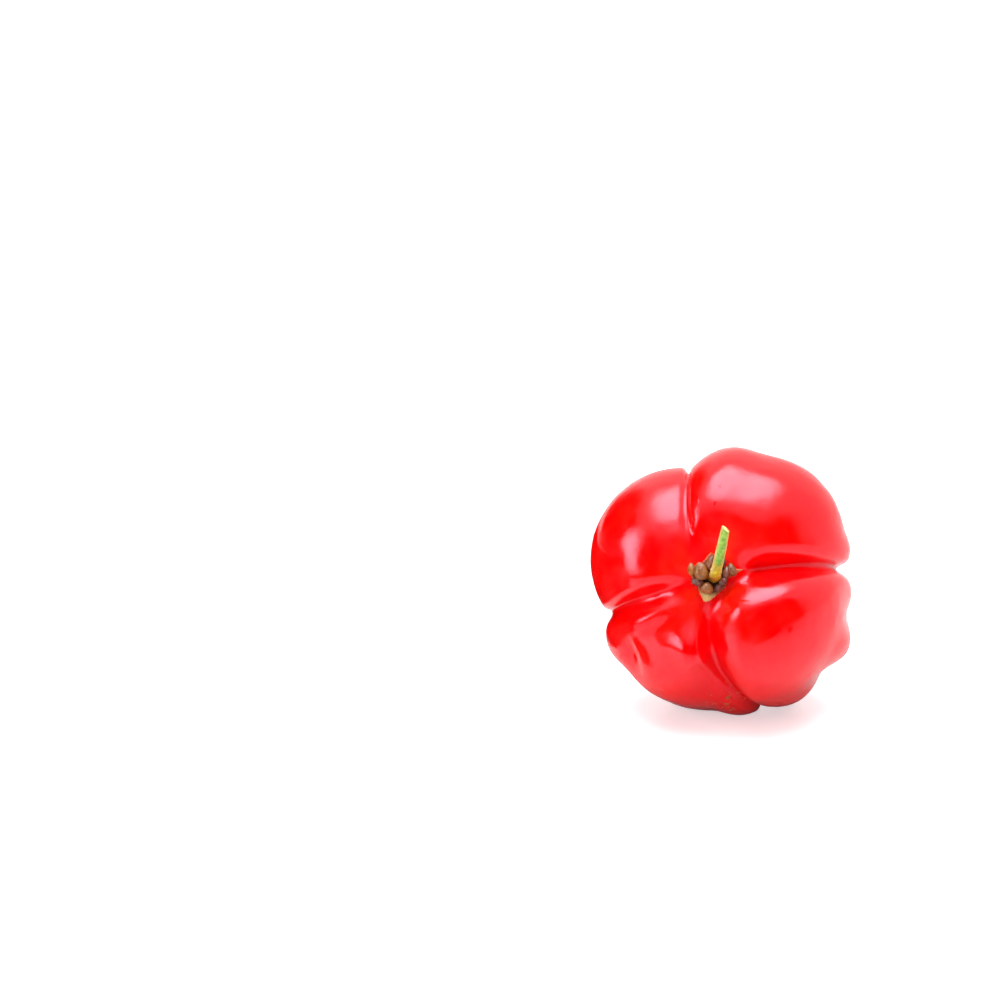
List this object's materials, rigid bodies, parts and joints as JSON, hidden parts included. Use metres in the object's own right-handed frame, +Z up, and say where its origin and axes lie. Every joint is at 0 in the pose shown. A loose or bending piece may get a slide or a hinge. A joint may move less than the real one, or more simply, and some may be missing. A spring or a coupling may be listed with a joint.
{
  "type": "acerola",
  "caption": "Ripe acerola lying on its side: a glossy red lobed fruit with deep grooves, a small calyx with oil glands and a cut green pedicel.",
  "frame": {"origin": "on the table plane, in the middle of the bounding box's bottom", "axes": "+Z is up, -Y points out of the calyx side, which faces the viewer, and +X is to the viewer's right"},
  "size_m": [0.026, 0.0218, 0.0263],
  "materials": {
    "fruit_skin": "smooth waxy gloss",
    "dry_sepal": "dry and papery",
    "oil_gland": "slightly waxy",
    "green_stalk": "satin green bark"
  },
  "bodies": {
    "root": {"fruit": "fruit_skin", "calyx": "dry_sepal", "oil_glands": "oil_gland", "pedicel": "green_stalk"}
  },
  "joints": []
}
